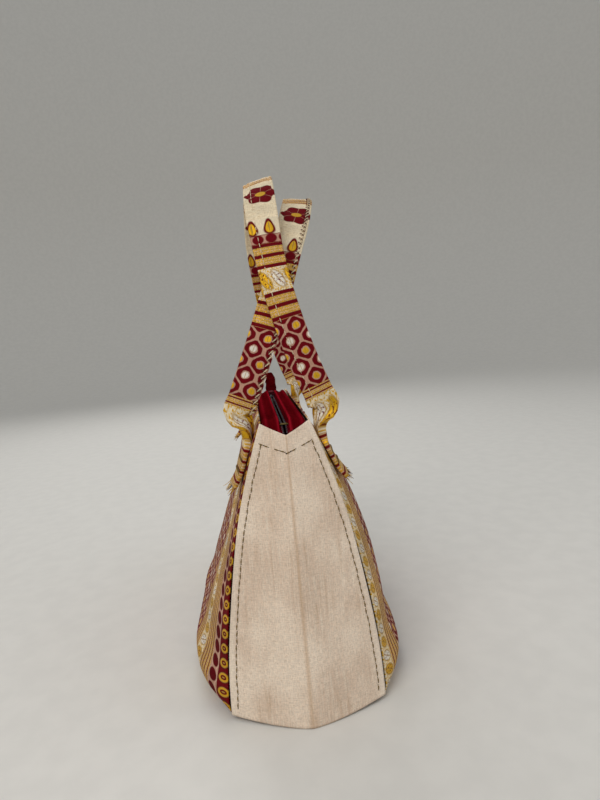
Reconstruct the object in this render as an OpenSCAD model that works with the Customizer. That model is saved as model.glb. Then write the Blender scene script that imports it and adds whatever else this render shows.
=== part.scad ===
// Small structured handbag: brocade panels, raw-silk end gussets, zipped satin top, two handles.
// X runs along the bag, Y from the front face (-Y) to the back face (+Y), Z up.
// The origin is the middle of the footprint, on the surface that the bag stands on.

/* [Body] */
// Length of the mouth, between the top corners of the gussets
mouth_l = 226; // [200:1:270]
// Length of the bottom, between the bottom corners of the gussets
bottom_l = 266; // [240:1:310]
// Height of the body at the top corners of the gussets
body_h = 182; // [150:1:220]
// Depth of the mouth, over both panels
mouth_d = 32; // [31:1:42]
// Depth of the gusset at its bottom edge
gusset_d = 98; // [80:1:118]
// Depth of the body halfway along, at the bottom
body_d = 154; // [120:1:180]
// How far the gusset's crease stands out at the bottom
crease_bottom = 18; // [8:1:26]
// How far the gusset's crease stands out at the top
crease_top = 4; // [2:1:8]
// Depth of the dip in the gusset's top edge
dip = 8; // [4:1:12]
// How far the bottom corners of the gussets stand off the ground
corner_lift = 3; // [0:0.5:5]
// Height of the rounded lower edge, halfway along
round_h = 28; // [16:1:36]
// How far the rounded lower edge turns under, halfway along
round_in = 24; // [14:1:30]

/* [Layers] */
// Thickness of the brocade with its backing
brocade_t = 1; // [0.6:0.1:1.4]
// Thickness of the raw silk with its backing
silk_t = 1.1; // [0.7:0.1:1.4]
// Thickness of the boards in the panels
board_t = 1.5; // [1:0.1:2.2]
// Thickness of the board in the base
base_board_t = 2.5; // [1.5:0.1:4]
// Thickness of the gussets' stiffener
stiffener_t = 0.8; // [0.5:0.1:1.2]
// Thickness of the lining
lining_t = 0.5; // [0.3:0.1:0.8]
// Gap between two layers
layer_gap = 0.2; // [0.1:0.05:0.4]

/* [Zip] */
// Diameter of one coil of the zip
coil_d = 1.9; // [1.4:0.1:2.4]
// Gap between the two coils
coil_gap = 1.1; // [0.9:0.1:1.5]
// Width of each zip tape, coil to edge
tape_w = 9.4; // [7:0.1:9.6]
// Thickness of the zip tape
tape_t = 0.6; // [0.4:0.1:0.8]
// Thickness of the satin strips beside the zip
flap_t = 1.6; // [1:0.1:2]
// Length of each end of the zip that doesn't open
zip_end_l = 27; // [24:1:34]
// Length of the slider
slider_l = 10; // [8:0.5:12]
// Thickness of the slider's plates
slider_plate_t = 1; // [0.8:0.1:1.2]
// Clearance between the slider and the zip
slider_gap = 0.3; // [0.25:0.05:0.35]
// Radius of the slider's pin
pin_r = 0.6; // [0.5:0.05:0.7]
// Radial clearance of the pull on the pin
pin_gap = 0.08; // [0.05:0.01:0.1]
// Length of the pull
pull_l = 14; // [10:0.5:14]
// Height of the satin tab at the left end of the zip
end_tab_h = 20; // [12:1:26]

/* [Handles] */
// Distance between the feet of a handle
handle_span = 194; // [170:1:200]
// Height of the back handle over its folds
back_rise = 171; // [150:1:190]
// Height of the front handle over its folds
front_rise = 152; // [135:1:160]
// Width of the strap
strap_w = 20; // [16:0.5:22]
// Thickness of the strap
strap_t = 3.4; // [2.8:0.1:4]
// Thickness of the strap's brocade cover
cover_t = 0.7; // [0.5:0.1:0.9]
// Width of the strap where it is folded
foot_w = 6; // [5:0.5:7]
// Distance of a handle's folds from the middle of the bag
fold_y = 28; // [26:0.5:32]
// Height of the folds over the panels' top edge
fold_up = 7; // [5:0.5:12]
// How far the tabs reach down the panels
tab_l = 41; // [34:1:50]

/* [Stitches] */
// Distance from one topstitch to the next
stitch_pitch = 4.5; // [3.5:0.1:6]
// Distance of the topstitching from the gusset's edge
stitch_inset = 3.6; // [3:0.1:5]
// Thickness of the thread
thread_d = 0.6; // [0.4:0.1:0.8]

/* [Hidden] */
$fn = 48;
HAIR = 0.05;                                  // so thin a gap that two pieces count as touching
SLOPE_STEP = 0.004;                           // step for slopes on a surface
SIDE_ROWS = 7;                                // rows of facets on the upright part of a panel
ROUND_ROWS = 5;                               // rows of facets round its lower edge
LONG_COLUMNS = 20;
ROWS = SIDE_ROWS + ROUND_ROWS;
END_EASE = 1;
MIDDLE_EASE = 0.7;
side_share = SIDE_ROWS / ROWS;
end_round_h = 6;                              // the rounded lower edge at the gussets
end_round_in = 4;
panel_inset = 2;                              // the panels stop this far inside the gussets
hem_up = 0.4;                                 // the gussets' lower edge over the ground
board_depth = brocade_t + layer_gap;
lining_depth = board_depth + board_t + layer_gap;
stiffener_depth = silk_t + layer_gap;
gusset_lining_depth = stiffener_depth + stiffener_t + layer_gap;
layer_inset = lining_depth + lining_t + 1;    // the gussets' inner layers stop clear of the panels'
base_lining_depth = brocade_t + layer_gap + base_board_t + layer_gap;

flap_top = body_h - 1.4;                      // top face of the satin strips
flap_y = mouth_d / 2 - brocade_t - 0.4;       // outer edge of the strips, and the line they fold on
coil_y = (coil_gap + coil_d) / 2;
coil_z = flap_top - flap_t - 0.4 - coil_d / 2;
coil_outer = coil_gap / 2 + coil_d;
slider_wall = 0.8;
slider_half_w = coil_outer + 0.9 + slider_wall;
flap_inner = slider_half_w + 0.45;
end_x0 = mouth_l / 2 - zip_end_l;             // the opening part of the zip stops here
end_gap = 0.5;
coil_end = mouth_l / 2 - 9;
slider_x = (end_x0 + coil_end) / 2 - 0.5;     // where the slider rests, at either end
slider_top = coil_z + coil_d / 2 + slider_gap + slider_plate_t;
eye_r = pin_r + pin_gap + 0.62;
pin_z = slider_top + eye_r + 0.25;
lug_t = 0.8;
pull_w = 5.2;
pull_t = 1;

fold_z = body_h + fold_up;
back_lean = 0.42;                             // lean of the legs at the folds, across over up
back_curl = 0.0015;                           // how soon the legs straighten
front_lean = 0.445;
front_curl = 0.0004;
back_square = 2.2;                            // 2 is an ellipse, more is squarer
front_square = 1.8;
HOOP_STEPS = 36;
taper_l = 18;                                 // the strap reaches its full width this far up
joint_gap = 4;                                // free length under the folds, for the swing

brocade_colour = [0.42, 0.06, 0.12];
silk_colour = [0.84, 0.74, 0.60];
satin_colour = [0.55, 0.04, 0.10];
board_colour = [0.72, 0.66, 0.54];
tape_colour = [0.36, 0.05, 0.12];
coil_colour = [0.28, 0.12, 0.18];
metal_colour = [0.45, 0.12, 0.16];
strap_colour = [0.80, 0.66, 0.42];
thread_colour = [0.50, 0.40, 0.12];

// ---- Shape of the body ----

function mix(a, b, t) = a + (b - a) * t;
function unit(v) = v / norm(v);

// Share of the way from mouth to bottom. ease is how far it levels off towards the bottom, 0 to 1.
function spread(z, ease) = let (s = 1 - z / body_h) s * (1 + ease - ease * s);
function end_x(z) = mix(bottom_l, mouth_l, z / body_h) / 2;
function end_y(z) = mix(mouth_d, gusset_d, spread(z, END_EASE)) / 2;
function mid_y(z) = mix(mouth_d, body_d, spread(z, MIDDLE_EASE)) / 2;
function side_y(x, z) = mix(mid_y(z), end_y(z), pow(abs(x) / end_x(z), 4));
function lift(x, y, z) =
    corner_lift * pow(abs(x) / (bottom_l / 2), 6) * pow(y / (gusset_d / 2), 2) * (1 - z / body_h);
function under_h(u) = mix(round_h, end_round_h, pow(abs(u), 4));
function under_in(u) = mix(round_in, end_round_in, pow(abs(u), 4));

// Outer face of the back panel: u runs from end to end, v from the top edge to under the bag.
panel_face = function (u, v)
    let (
        turn = 90 * max(0, (v - side_share) / (1 - side_share)),
        h = under_h(u),
        z = v < side_share ? mix(body_h, h, v / side_share) : h * (1 - sin(turn)),
        x = u * (end_x(z) - panel_inset),
        y = side_y(x, z) - under_in(u) * (1 - cos(turn))
    )
    [x, y, z + lift(x, y, z)];

// Outer face of the right gusset: u runs across, v up. inset takes the edges in.
function gusset_face(inset) = function (u, v)
    let (
        low = hem_up + corner_lift * u * u,
        high = body_h - dip * (1 - abs(u)),
        z = mix(low, high, v),
        crease = mix(crease_bottom, crease_top, z / body_h)
    )
    [end_x(z) + crease * (1 - pow(abs(u), 1.3)), u * (end_y(z) - inset), z];

// Underside of the base: u runs from end to end, v across. inset takes the outline in.
base_corner_x = bottom_l / 2 - panel_inset;
base_tip_x = bottom_l / 2 + crease_bottom - 2.4;
function base_y(x) =
    abs(x) < base_corner_x
        ? side_y(x, 0) - under_in(x / base_corner_x)
        : mix(base_y(base_corner_x - HAIR), 1, (abs(x) - base_corner_x) / (base_tip_x - base_corner_x));
function base_face(reach, inset) = function (u, v)
    let (x = u * reach, y = -v * (base_y(x) - inset))
    [x, y, lift(x, y, 0)];

// ---- Sheets and ribbons ----

function slope_u(f, u, v) = f(u + SLOPE_STEP, v) - f(u - SLOPE_STEP, v);
function slope_v(f, u, v) = f(u, v + SLOPE_STEP) - f(u, v - SLOPE_STEP);
function outward(f, u, v) = unit(cross(slope_u(f, u, v), slope_v(f, u, v)));
function inside(f, u, v, depth) = f(u, v) - outward(f, u, v) * depth;
function quad(a, b, c, d) = [[a, b, c], [a, c, d]];

// A layer of the surface f, from depth d0 to depth d1 under its outer face.
module sheet(f, u_range, columns, v_range, rows, d0, d1) {
    function at(i, j, k) = k * (columns + 1) * (rows + 1) + j * (columns + 1) + i;
    points = [
        for (depth = [d0, d1])
            for (j = [0 : rows])
                for (i = [0 : columns])
                    let (
                        u = mix(u_range[0], u_range[1], i / columns),
                        v = mix(v_range[0], v_range[1], j / rows)
                    )
                    inside(f, u, v, depth)];
    skins = [
        for (j = [0 : rows - 1])
            for (i = [0 : columns - 1])
                each concat(
                    quad(at(i, j, 0), at(i, j + 1, 0), at(i + 1, j + 1, 0), at(i + 1, j, 0)),
                    quad(at(i, j, 1), at(i + 1, j, 1), at(i + 1, j + 1, 1), at(i, j + 1, 1)))];
    long_edges = [
        for (i = [0 : columns - 1])
            each concat(
                quad(at(i, 0, 0), at(i + 1, 0, 0), at(i + 1, 0, 1), at(i, 0, 1)),
                quad(at(i + 1, rows, 0), at(i, rows, 0), at(i, rows, 1), at(i + 1, rows, 1)))];
    short_edges = [
        for (j = [0 : rows - 1])
            each concat(
                quad(at(0, j + 1, 0), at(0, j, 0), at(0, j, 1), at(0, j + 1, 1)),
                quad(at(columns, j, 0), at(columns, j + 1, 0), at(columns, j + 1, 1), at(columns, j, 1)))];
    polyhedron(points = points, faces = concat(skins, long_edges, short_edges), convexity = 6);
}

// Section of a strap: a flat bar with chamfered edges.
function strap_section(w, t) =
    let (c = t * 0.35, a = w / 2, b = t / 2)
    [[a, b - c], [a - c, b], [c - a, b], [-a, b - c], [-a, c - b], [c - a, -b], [a - c, -b], [a, c - b]];

// A strap swept along path, a list of [point, direction across, width, thickness].
module ribbon(path) {
    n = len(path);
    sides = 8;
    rings = [
        for (i = [0 : n - 1])
            let (
                along = unit(path[min(i + 1, n - 1)][0] - path[max(i - 1, 0)][0]),
                across = unit(path[i][1] - along * (along * path[i][1])),
                up = cross(along, across)
            )
            for (q = strap_section(path[i][2], path[i][3]))
                path[i][0] + across * q[0] + up * q[1]];
    walls = [
        for (i = [0 : n - 2])
            for (k = [0 : sides - 1])
                let (m = (k + 1) % sides)
                each quad(i * sides + k, (i + 1) * sides + k, (i + 1) * sides + m, i * sides + m)];
    first = [for (k = [0 : sides - 1]) k];
    last = [for (k = [sides - 1 : -1 : 0]) (n - 1) * sides + k];
    polyhedron(points = rings, faces = concat(walls, [first, last]), convexity = 6);
}

module mirrored(axis, on) {
    if (on)
        mirror(axis) children();
    else
        children();
}

// ---- Body layers ----

module panel() {
    sheet(panel_face, [-1, 1], LONG_COLUMNS, [0, 1], ROWS, 0, brocade_t);
}

// The inner layers keep to the panel's own columns and rows, so that their facets lie parallel.
inner_u = 1 - 2 / LONG_COLUMNS;
module panel_board() {
    sheet(panel_face, [-inner_u, inner_u], LONG_COLUMNS - 2, [1 / ROWS, side_share], SIDE_ROWS - 1,
        board_depth, board_depth + board_t);
}

module panel_lining() {
    sheet(panel_face, [-inner_u, inner_u], LONG_COLUMNS - 2, [1 / ROWS, 1 - 1 / ROWS], ROWS - 2,
        lining_depth, lining_depth + lining_t);
}

module gusset() {
    sheet(gusset_face(0), [-1, 1], 10, [0, 1], 9, 0, silk_t);
}

module gusset_stiffener() {
    sheet(gusset_face(layer_inset), [-0.98, 0.98], 8, [0.05, 0.93], 8,
        stiffener_depth, stiffener_depth + stiffener_t);
}

module gusset_lining() {
    sheet(gusset_face(layer_inset), [-0.96, 0.96], 8, [0.06, 0.94], 8,
        gusset_lining_depth, gusset_lining_depth + lining_t);
}

module front_panel() { color(brocade_colour) mirrored([0, 1, 0], true) panel(); }
module back_panel() { color(brocade_colour) panel(); }
module base_panel() {
    color(brocade_colour) sheet(base_face(base_tip_x, 0.3), [-1, 1], 26, [-1, 1], 4, 0, brocade_t);
}
module right_gusset() { color(silk_colour) gusset(); }
module left_gusset() { color(silk_colour) mirrored([1, 0, 0], true) gusset(); }

module front_board() { color(board_colour) mirrored([0, 1, 0], true) panel_board(); }
module back_board() { color(board_colour) panel_board(); }
module base_board() {
    color(board_colour)
        sheet(base_face(base_corner_x - 8, 5), [-1, 1], LONG_COLUMNS, [-1, 1], 4,
            brocade_t + layer_gap, brocade_t + layer_gap + base_board_t);
}
module right_gusset_stiffener() { color(board_colour) gusset_stiffener(); }
module left_gusset_stiffener() { color(board_colour) mirrored([1, 0, 0], true) gusset_stiffener(); }

module front_lining() { color(satin_colour) mirrored([0, 1, 0], true) panel_lining(); }
module back_lining() { color(satin_colour) panel_lining(); }
module base_lining() {
    color(satin_colour)
        sheet(base_face(base_corner_x - 8, 5), [-1, 1], LONG_COLUMNS, [-1, 1], 4,
            base_lining_depth, base_lining_depth + lining_t);
}
module right_gusset_lining() { color(satin_colour) gusset_lining(); }
module left_gusset_lining() { color(satin_colour) mirrored([1, 0, 0], true) gusset_lining(); }

// ---- Zipped top ----

// A flat bar along X, from x0 to x1, between two distances from the middle, on the back side.
module bar(x0, x1, y0, y1, top, t) {
    translate([x0, y0, top - t])
        cube([x1 - x0, y1 - y0, t]);
}

tape_top = coil_z + tape_t / 2;
hem_w = 5;                                    // turned edge of the satin, down to the tape
hem_t = flap_top - flap_t - tape_top - HAIR;
module hem(x0, x1) {
    bar(x0, x1, flap_inner, flap_inner + hem_w, flap_top - HAIR, flap_t - HAIR + hem_t);
}

module flap() {
    x1 = end_x0 - end_gap;
    bar(-x1, x1, flap_inner, flap_y, flap_top, flap_t);
    hem(-x1, x1);
}

module tape(x0, x1) {
    bar(x0, x1, coil_outer, coil_outer + tape_w, tape_top, tape_t);
}

module coil(x0, x1) {
    translate([x0, coil_y, coil_z])
        rotate([0, 90, 0])
            cylinder(d = coil_d, h = x1 - x0);
}

module both_sides() {
    children();
    mirror([0, 1, 0]) children();
}

module front_flap() { color(satin_colour) mirrored([0, 1, 0], true) flap(); }
module back_flap() { color(satin_colour) flap(); }
module front_zip_tape() {
    color(tape_colour) mirrored([0, 1, 0], true) tape(-end_x0 + end_gap, end_x0 - end_gap);
}
module back_zip_tape() { color(tape_colour) tape(-end_x0 + end_gap, end_x0 - end_gap); }
module front_zip_coil() {
    color(coil_colour) mirrored([0, 1, 0], true) coil(-end_x0 + end_gap, end_x0 - end_gap);
}
module back_zip_coil() { color(coil_colour) coil(-end_x0 + end_gap, end_x0 - end_gap); }

// The satin round one end of the zip, with a slot that the slider runs into.
module zip_end() {
    end_l = mouth_l / 2 - 1 - end_x0;
    both_sides() hem(end_x0, coil_end);
    difference() {
        translate([end_x0, -flap_y, flap_top - flap_t])
            cube([end_l, 2 * flap_y, flap_t]);
        translate([end_x0 - 1, -flap_inner, flap_top - flap_t - 1])
            cube([coil_end - end_x0 + 1, 2 * flap_inner, flap_t + 2]);
    }
}

module right_zip_end() { color(satin_colour) zip_end(); }
module left_zip_end() { color(satin_colour) mirrored([1, 0, 0], true) zip_end(); }
module right_tape_end() { color(tape_colour) both_sides() tape(end_x0, coil_end); }
module left_tape_end() {
    color(tape_colour) mirrored([1, 0, 0], true) both_sides() tape(end_x0, coil_end);
}
module right_coil_end() { color(coil_colour) both_sides() coil(end_x0, coil_end); }
module left_coil_end() {
    color(coil_colour) mirrored([1, 0, 0], true) both_sides() coil(end_x0, coil_end);
}

// The tab is a folded strip of satin that stands on the left end of the zip.
module zip_end_tab() {
    satin_w = 10;
    satin_t = 2.6;
    color(satin_colour)
        translate([-mouth_l / 2 + 1.2, 0, flap_top + HAIR]) {
            translate([0, -satin_w / 2, 0])
                cube([satin_t, satin_w, end_tab_h - satin_w / 2]);
            translate([0, 0, end_tab_h - satin_w / 2])
                rotate([0, 90, 0])
                    cylinder(d = satin_w, h = satin_t);
        }
}

// A bar tack across the coils at each end stops the slider.
module zip_bar_tacks() {
    tack_w = 1.2;
    color(thread_colour)
        for (side = [-1, 1])
            translate([side * (coil_end - tack_w) - tack_w / 2, -coil_outer, coil_z + coil_d / 2 + HAIR])
                cube([tack_w, 2 * coil_outer, thread_d]);
}

module slider_plate(z0) {
    translate([-slider_l / 2, -slider_half_w, z0])
        cube([slider_l, 2 * slider_half_w, slider_plate_t]);
}

module zip_slider() {
    inner_h = coil_d / 2 + slider_gap;
    tape_low = tape_top - tape_t;
    neck_l = 1.6;
    neck_t = coil_gap - 2 * slider_gap;
    upper_z = tape_top + slider_gap;
    lower_z = tape_low - slider_gap;
    bottom_z = coil_z - inner_h - slider_plate_t;
    color(metal_colour)
        translate([-slider_x, 0, 0]) {
            slider_plate(coil_z + inner_h);
            slider_plate(bottom_z);
            translate([-slider_l / 2, -neck_t / 2, coil_z - inner_h - HAIR])
                cube([neck_l, neck_t, 2 * inner_h + 2 * HAIR]);
            for (side = [-1, 1]) {
                wall_y = side * (slider_half_w - slider_wall / 2) - slider_wall / 2;
                translate([-slider_l / 2, wall_y, upper_z])
                    cube([slider_l, slider_wall, slider_top - upper_z]);
                translate([-slider_l / 2, wall_y, bottom_z])
                    cube([slider_l, slider_wall, lower_z - bottom_z]);
                lug(side);
            }
            translate([0, 0, pin_z])
                rotate([90, 0, 0])
                    cylinder(r = pin_r, h = 2 * lug_y + 2 * lug_t, center = true);
        }
}

lug_y = 1.6;
module lug(side) {
    lug_r = 1.25;
    translate([0, side * (lug_y + lug_t / 2), 0]) {
        translate([-lug_r, -lug_t / 2, slider_top - HAIR])
            cube([2 * lug_r, lug_t, pin_z - slider_top + HAIR]);
        translate([0, 0, pin_z])
            rotate([90, 0, 0])
                cylinder(r = lug_r, h = lug_t, center = true);
    }
}

// The pull lies along the zip, pointing left, with its eye on the slider's pin.
module zip_pull() {
    eye_w = 2 * lug_y - 0.3;
    neck_l = 2.6;
    hole_r = 1.1;
    color(metal_colour)
        translate([-slider_x, 0, pin_z]) rotate([0, 0, 180])
            difference() {
                union() {
                    rotate([90, 0, 0])
                        cylinder(r = eye_r, h = eye_w, center = true);
                    translate([0, -eye_w / 2, -pull_t / 2])
                        cube([neck_l, eye_w, pull_t]);
                    translate([neck_l, -pull_w / 2, -pull_t / 2])
                        cube([pull_l - neck_l - pull_w / 2, pull_w, pull_t]);
                    translate([pull_l - pull_w / 2, 0, -pull_t / 2])
                        cylinder(d = pull_w, h = pull_t);
                }
                rotate([90, 0, 0])
                    cylinder(r = pin_r + pin_gap, h = eye_w + 2, center = true);
                translate([pull_l - pull_w / 2, 0, -pull_t])
                    cylinder(r = hole_r, h = 2 * pull_t);
            }
}

// ---- Handles ----

// Middle of a strap at an angle round the hoop, 0 at the right foot, on the back side.
function hoop(angle, rise, square, lean, curl) =
    let (
        c = cos(angle),
        up = rise * pow(max(0, sin(angle)), 2 / square)
    )
    [sign(c) * handle_span / 2 * pow(abs(c), 2 / square), fold_y - lean * up + curl * up * up, fold_z + up];

function hoop_w(up) = mix(foot_w, strap_w, min(1, up / taper_l));

// The strap as a path; thinner is taken off its width and its thickness all round.
function hoop_path(rise, square, lean, curl, thinner, first, last) = [
    for (i = [first : last])
        let (p = hoop(180 * i / HOOP_STEPS, rise, square, lean, curl))
        [p, [0, 1, 0], hoop_w(p[2] - fold_z) - 2 * thinner, strap_t - 2 * thinner]];

module handle_cover(rise, square, lean, curl) {
    path = hoop_path(rise, square, lean, curl, cover_t, 0, HOOP_STEPS);
    last = HOOP_STEPS;
    down = [0, 0, -1];
    bore = concat(
        [[path[0][0] + down, path[0][1], path[0][2], path[0][3]]],
        path,
        [[path[last][0] + down, path[last][1], path[last][2], path[last][3]]]);
    difference() {
        ribbon(hoop_path(rise, square, lean, curl, 0, 0, HOOP_STEPS));
        ribbon(bore);
    }
}

module handle_core(rise, square, lean, curl) {
    ribbon(hoop_path(rise, square, lean, curl, cover_t + 2 * HAIR, 1, HOOP_STEPS - 1));
}

module front_handle() {
    color(strap_colour)
        mirrored([0, 1, 0], true) handle_cover(front_rise, front_square, front_lean, front_curl);
}
module back_handle() { color(strap_colour) handle_cover(back_rise, back_square, back_lean, back_curl); }
module front_handle_core() {
    color(board_colour)
        mirrored([0, 1, 0], true) handle_core(front_rise, front_square, front_lean, front_curl);
}
module back_handle_core() { color(board_colour) handle_core(back_rise, back_square, back_lean, back_curl); }

// A tab runs from just under the fold, turns flat, and lies on the panel. s is 0 at its lower end.
TAB_STEPS = 12;
tab_stand = 0.6;                              // the tab lies this far off the panel
tab_x = handle_span / 2;
tab_low = body_h - tab_l;
tab_high = fold_z - joint_gap;
tab_leaves = body_h - 20;                     // above this height the tab comes away from the panel
function tab_y(z) =
    let (
        on_panel = side_y(tab_x, min(z, body_h)) + strap_t / 2 + tab_stand,
        free = pow(max(0, (z - tab_leaves) / (tab_high - tab_leaves)), 1.6)
    )
    mix(on_panel, fold_y, free);
function tab_point(s) = let (z = mix(tab_low, tab_high, s)) [tab_x, tab_y(z), z];
function tab_w(s) = mix(strap_w, foot_w, pow(max(0, (s - 0.5) / 0.5), 1.3));

// Direction across the tab: along the panel at its lower end, square to it under the fold.
function tab_across(s) =
    let (
        z = min(mix(tab_low, tab_high, s), body_h),
        along_panel = atan((side_y(tab_x + 1, z) - side_y(tab_x - 1, z)) / 2),
        turn = mix(along_panel, 90, pow(max(0, (s - 0.66) / 0.34), 1.5))
    )
    [cos(turn), sin(turn), 0];
function tab_path() = [
    for (i = [0 : TAB_STEPS])
        let (s = i / TAB_STEPS)
        [tab_point(s), tab_across(s), tab_w(s), strap_t]];

module handle_tab() { ribbon(tab_path()); }

module right_front_tab() { color(strap_colour) mirrored([0, 1, 0], true) handle_tab(); }
module left_front_tab() {
    color(strap_colour) mirrored([1, 0, 0], true) mirrored([0, 1, 0], true) handle_tab();
}
module right_back_tab() { color(strap_colour) handle_tab(); }
module left_back_tab() { color(strap_colour) mirrored([1, 0, 0], true) handle_tab(); }

// ---- Stitches ----

// One stitch lying on a surface, from p along the direction along, with the surface facing n.
module stitch(p, along, n) {
    a = unit(along);
    c = unit(n - a * (a * n));
    b = cross(c, a);
    stitch_l = stitch_pitch * 0.66;
    multmatrix([
        [a[0], b[0], c[0], p[0]],
        [a[1], b[1], c[1], p[1]],
        [a[2], b[2], c[2], p[2]],
        [0, 0, 0, 1]])
        translate([-stitch_l / 2, -thread_d / 2, 2 * HAIR])
            cube([stitch_l, thread_d, thread_d]);
}

// Stitches up both edges of the right gusset, and a V-shaped row under its top edge.
module gusset_stitching() {
    face = gusset_face(0);
    first_z = 8;
    rows = floor((body_h - first_z - 10) / stitch_pitch);
    row_drop = 11;
    top_half = 4;
    for (side = [-1, 1])
        for (k = [0 : rows]) {
            z = first_z + k * stitch_pitch;
            v = z / body_h;
            u = side * (1 - stitch_inset / end_y(z));
            stitch(face(u, v), slope_v(face, u, v), outward(face, u, v));
        }
    for (k = [-top_half : top_half]) {
        u = 0.78 * k / top_half;
        v = 1 - row_drop / body_h;
        stitch(face(u, v), slope_u(face, u, v), outward(face, u, v));
    }
}

module right_gusset_stitching() { color(thread_colour) gusset_stitching(); }
module left_gusset_stitching() { color(thread_colour) mirrored([1, 0, 0], true) gusset_stitching(); }

// Two rows of stitches across the face of each tab hold it to the panel.
module tab_stitches() {
    across = 3;
    for (s = [0.22, 0.42])
        for (k = [-across : across]) {
            p = tab_point(s);
            rise = unit(tab_point(s + SLOPE_STEP) - tab_point(s - SLOPE_STEP));
            n = cross(rise, tab_across(s));
            stitch(p + tab_across(s) * (k * stitch_pitch * 0.62) + n * (strap_t / 2), rise, n);
        }
}

module tab_stitching() {
    color(thread_colour)
        for (x_side = [false, true])
            for (y_side = [false, true])
                mirrored([1, 0, 0], x_side) mirrored([0, 1, 0], y_side) tab_stitches();
}

front_panel();
back_panel();
base_panel();
right_gusset();
left_gusset();
front_board();
back_board();
base_board();
right_gusset_stiffener();
left_gusset_stiffener();
front_lining();
back_lining();
base_lining();
right_gusset_lining();
left_gusset_lining();
front_flap();
back_flap();
front_zip_tape();
back_zip_tape();
front_zip_coil();
back_zip_coil();
right_zip_end();
left_zip_end();
right_tape_end();
left_tape_end();
right_coil_end();
left_coil_end();
zip_end_tab();
zip_bar_tacks();
zip_slider();
zip_pull();
front_handle();
back_handle();
front_handle_core();
back_handle_core();
right_front_tab();
left_front_tab();
right_back_tab();
left_back_tab();
right_gusset_stitching();
left_gusset_stitching();
tab_stitching();
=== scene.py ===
"""Looks for the small brocade handbag: fabric shells, stitching, zipped satin top and strap handles.

Sizes are in millimetres here, as in the part's source, and become metres when a mesh is made.
"""

import math

import bpy
import numpy as np
from mathutils import Matrix, Vector


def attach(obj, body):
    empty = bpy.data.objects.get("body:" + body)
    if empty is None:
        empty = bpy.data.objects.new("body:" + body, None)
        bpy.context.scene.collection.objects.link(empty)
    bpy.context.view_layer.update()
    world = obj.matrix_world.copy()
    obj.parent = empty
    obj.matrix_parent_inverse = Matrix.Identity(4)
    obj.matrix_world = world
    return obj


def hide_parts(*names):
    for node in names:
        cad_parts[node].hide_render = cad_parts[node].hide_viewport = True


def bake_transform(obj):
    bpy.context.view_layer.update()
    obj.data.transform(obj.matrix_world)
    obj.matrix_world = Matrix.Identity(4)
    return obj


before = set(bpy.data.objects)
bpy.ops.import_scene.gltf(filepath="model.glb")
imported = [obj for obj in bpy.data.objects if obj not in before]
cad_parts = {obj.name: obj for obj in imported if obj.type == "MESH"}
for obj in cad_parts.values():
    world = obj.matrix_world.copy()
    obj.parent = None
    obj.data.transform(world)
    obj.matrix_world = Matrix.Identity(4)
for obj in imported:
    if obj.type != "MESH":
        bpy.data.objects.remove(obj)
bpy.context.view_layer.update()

MM = 0.001
rng = np.random.RandomState(7)

# ---- Sizes that follow the part ----

BODY_H = 182.0
MOUTH_L, BOTTOM_L = 226.0, 266.0
MOUTH_D, GUSSET_D, BODY_D = 32.0, 98.0, 154.0
CREASE_BOTTOM, CREASE_TOP = 18.0, 4.0
DIP = 8.0
CORNER_LIFT = 3.0
ROUND_H, ROUND_IN = 28.0, 24.0
END_ROUND_H, END_ROUND_IN = 6.0, 4.0
PANEL_INSET = 2.0
HEM_UP = 0.4
SIDE_SHARE = 7 / 12
BROCADE_T, SILK_T, LINING_T = 1.0, 1.1, 0.5
MID_EASE = 0.7

FLAP_TOP = BODY_H - 1.4
COIL_Z = 177.65
COIL_OUTER = 2.45
TAPE_W = 9.4
TAPE_TOP = 177.95

FOLD_Z = 189.0
FOLD_Y = 28.0
HALF_SPAN = 97.0
STRAP_W, STRAP_T = 20.0, 3.4
TAB_LOW, TAB_HIGH = 141.0, 185.0


def mix(a, b, t):
    return a + (b - a) * t


def smooth(t):
    t = np.clip(t, 0, 1)
    return t * t * (3 - 2 * t)


def spread(z, ease=1.0):
    s = 1 - z / BODY_H
    return s * (1 + ease - ease * s)


def end_x(z):
    return mix(BOTTOM_L, MOUTH_L, z / BODY_H) / 2


def end_y(z):
    return mix(MOUTH_D, GUSSET_D, spread(z)) / 2


def mid_y(z):
    return mix(MOUTH_D, BODY_D, spread(z, MID_EASE)) / 2


def side_y(x, z):
    return mix(mid_y(z), end_y(z), (np.abs(x) / end_x(z)) ** 4)


def lift(x, y, z):
    return CORNER_LIFT * (np.abs(x) / (BOTTOM_L / 2)) ** 6 * (y / (GUSSET_D / 2)) ** 2 * (1 - z / BODY_H)


# ---- Meshes ----


def new_mesh(name, points, faces, material, uv=None, smooth_faces=True):
    """An object made of points in mm; uv gives each point its place on the cloth, in mm."""
    mesh = bpy.data.meshes.new(name)
    mesh.from_pydata((np.asarray(points, float) * MM).tolist(), [], [list(map(int, f)) for f in faces])
    if uv is not None:
        layer = mesh.uv_layers.new(name="UVMap")
        corner = np.zeros(len(mesh.loops), np.int32)
        mesh.loops.foreach_get("vertex_index", corner)
        layer.data.foreach_set("uv", (np.asarray(uv, float)[corner] * MM).astype(np.float32).ravel())
    mesh.polygons.foreach_set("use_smooth", [smooth_faces] * len(mesh.polygons))
    mesh.materials.append(material)
    mesh.validate()
    mesh.update()
    piece = bpy.data.objects.new(name, mesh)
    bpy.context.scene.collection.objects.link(piece)
    return piece


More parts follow.
